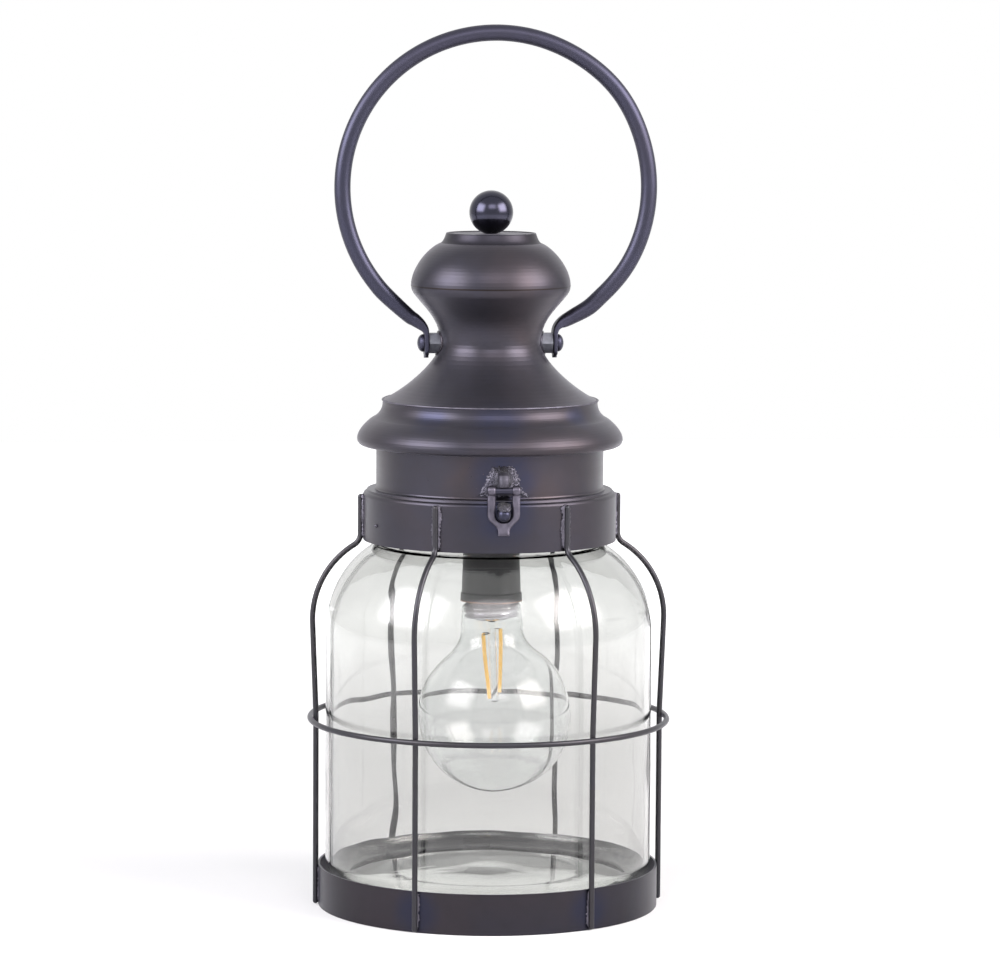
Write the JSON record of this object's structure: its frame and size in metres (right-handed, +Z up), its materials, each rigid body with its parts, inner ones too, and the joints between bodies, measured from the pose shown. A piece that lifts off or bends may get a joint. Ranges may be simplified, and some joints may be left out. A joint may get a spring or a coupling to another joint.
{
  "type": "lantern table lamp",
  "caption": "Lantern-shaped table lamp in dark patinated metal: a caged glass jar with a clear globe bulb, a roof that hinges open, a hasp and a ring handle.",
  "frame": {"origin": "centre of the foot ring, on the table", "axes": "+Z up, the latch faces -Y, +X to the right when facing the latch"},
  "size_m": [0.2244, 0.2244, 0.5438],
  "materials": {
    "patinated_metal": "dark bronze patina, satin",
    "bare_steel": "bare, lightly oxidised",
    "clear_glass": "clear, glossy",
    "black_plastic": "satin",
    "ceramic": "glazed ceramic",
    "brass": "bright",
    "phosphor": "amber coating on the unlit filaments"
  },
  "bodies": {
    "lantern": {"base_ring": "patinated_metal", "jar_bracket_1": "patinated_metal", "jar_bracket_2": "patinated_metal", "jar_bracket_3": "patinated_metal", "glass_jar": "clear_glass", "cage_wire_1": "patinated_metal", "cage_wire_2": "patinated_metal", "cage_wire_3": "patinated_metal", "cage_wire_4": "patinated_metal", "cage_wire_5": "patinated_metal", "cage_wire_6": "patinated_metal", "guard_hoop": "patinated_metal", "lower_collar": "patinated_metal", "latch_stud": "patinated_metal", "hinge_lower_leaf": "patinated_metal", "hinge_pin": "bare_steel", "cable_grommet": "black_plastic", "lamp_bridge": "patinated_metal", "threaded_tube": "bare_steel", "lock_nut": "bare_steel", "holder_cap": "black_plastic", "holder_sleeve": "black_plastic", "holder_insulator": "ceramic", "brass_screw_shell": "brass", "centre_contact": "brass", "bulb_cap": "bare_steel", "bulb_cap_insulator": "black_plastic", "bulb_contact": "bare_steel", "bulb_glass": "clear_glass", "bulb_stem": "clear_glass", "bulb_filaments": "phosphor", "filament_supports": "bare_steel"},
    "lid": {"upper_collar": "patinated_metal", "roof_brim": "patinated_metal", "chimney_cone": "patinated_metal", "chimney_dome": "patinated_metal", "button_cap": "patinated_metal", "finial": "patinated_metal", "finial_nut": "bare_steel", "hinge_upper_leaf": "patinated_metal", "hasp_knuckle": "patinated_metal", "hasp_pin": "bare_steel", "handle_weld_nuts": "bare_steel", "handle_bolts": "patinated_metal"},
    "handle": {"handle_ring": "patinated_metal"},
    "hasp": {"hasp_loop": "patinated_metal"}
  },
  "joints": [
    {"name": "lid_hinge", "type": "hinge", "parent": "lantern", "child": "lid", "pos_m": [0, 0.0814, 0.25964], "axis": [-1, 0, 0], "range_deg": [0, 100]},
    {"name": "handle_pivot", "type": "hinge", "parent": "lid", "child": "handle", "pos_m": [0, 0, 0.34884], "axis": [1, 0, 0], "range_deg": [-90, 130]},
    {"name": "hasp_pivot", "type": "hinge", "parent": "lid", "child": "hasp", "pos_m": [0, -0.0822, 0.26594], "axis": [-1, 0, 0], "range_deg": [0, 160]}
  ]
}
